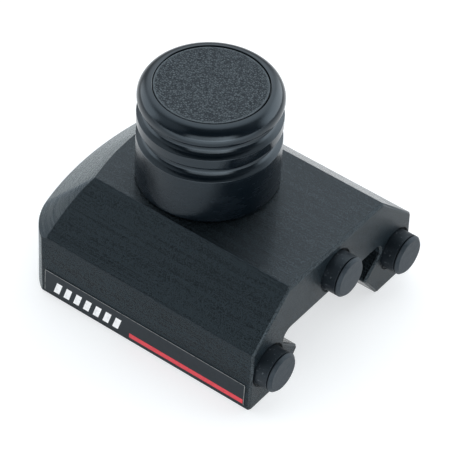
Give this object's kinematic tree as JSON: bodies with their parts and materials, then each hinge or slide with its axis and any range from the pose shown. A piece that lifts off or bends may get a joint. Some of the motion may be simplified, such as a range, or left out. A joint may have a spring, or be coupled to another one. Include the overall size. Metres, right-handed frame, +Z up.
{
  "type": "track pin stop",
  "caption": "Black anodised stop that slides on a sail track, with rubber bumpers and a spring-loaded pin lifted and parked by a round pull knob.",
  "frame": {"origin": "middle of the footprint of the whole part, at the underside of the block's feet", "axes": "+X along the track towards the bumpers, +Y across the track to the left, +Z up along the knob and pin"},
  "size_m": [0.0694, 0.0574, 0.0521],
  "materials": {
    "anodised_block": "black hard anodised, fine extrusion and milling lines",
    "side_label": "satin film with a red stripe",
    "bumper_rubber": "matte moulded rubber",
    "housing_aluminium": "black anodised, turned",
    "bush_plastic": "natural acetal",
    "spring_steel": "drawn stainless spring wire",
    "stainless_steel": "turned and polished stainless steel",
    "black_knob": "glossy black, turned",
    "grained_insert": "matte with a coarse pebble grain"
  },
  "bodies": {
    "block": {"body": "anodised_block", "side_label_left": "side_label", "side_label_right": "side_label", "bumper_left": "bumper_rubber", "bumper_middle": "bumper_rubber", "bumper_right": "bumper_rubber", "guide_housing": "housing_aluminium", "pin_bush": "bush_plastic", "spring": "spring_steel"},
    "lift_washer": {"thrust_washer": "bush_plastic"},
    "plunger": {"plunger_pin": "stainless_steel", "cross_pin": "stainless_steel", "retaining_ring": "spring_steel", "knob": "black_knob", "knob_insert": "grained_insert", "knob_screw": "stainless_steel", "lock_washer": "stainless_steel"}
  },
  "joints": [
    {"name": "knob_lift", "type": "slide", "parent": "block", "child": "lift_washer", "axis": [0, 0, 1], "range_m": [0, 0.0108], "stiffness_N_per_m": 1200, "springref_m": -0.008, "deforming": ["spring"]},
    {"name": "knob_turn", "type": "hinge", "parent": "lift_washer", "child": "plunger", "pos_m": [-0.0035, 0, 0.036], "axis": [0, 0, 1], "range_deg": [0, 90]}
  ]
}
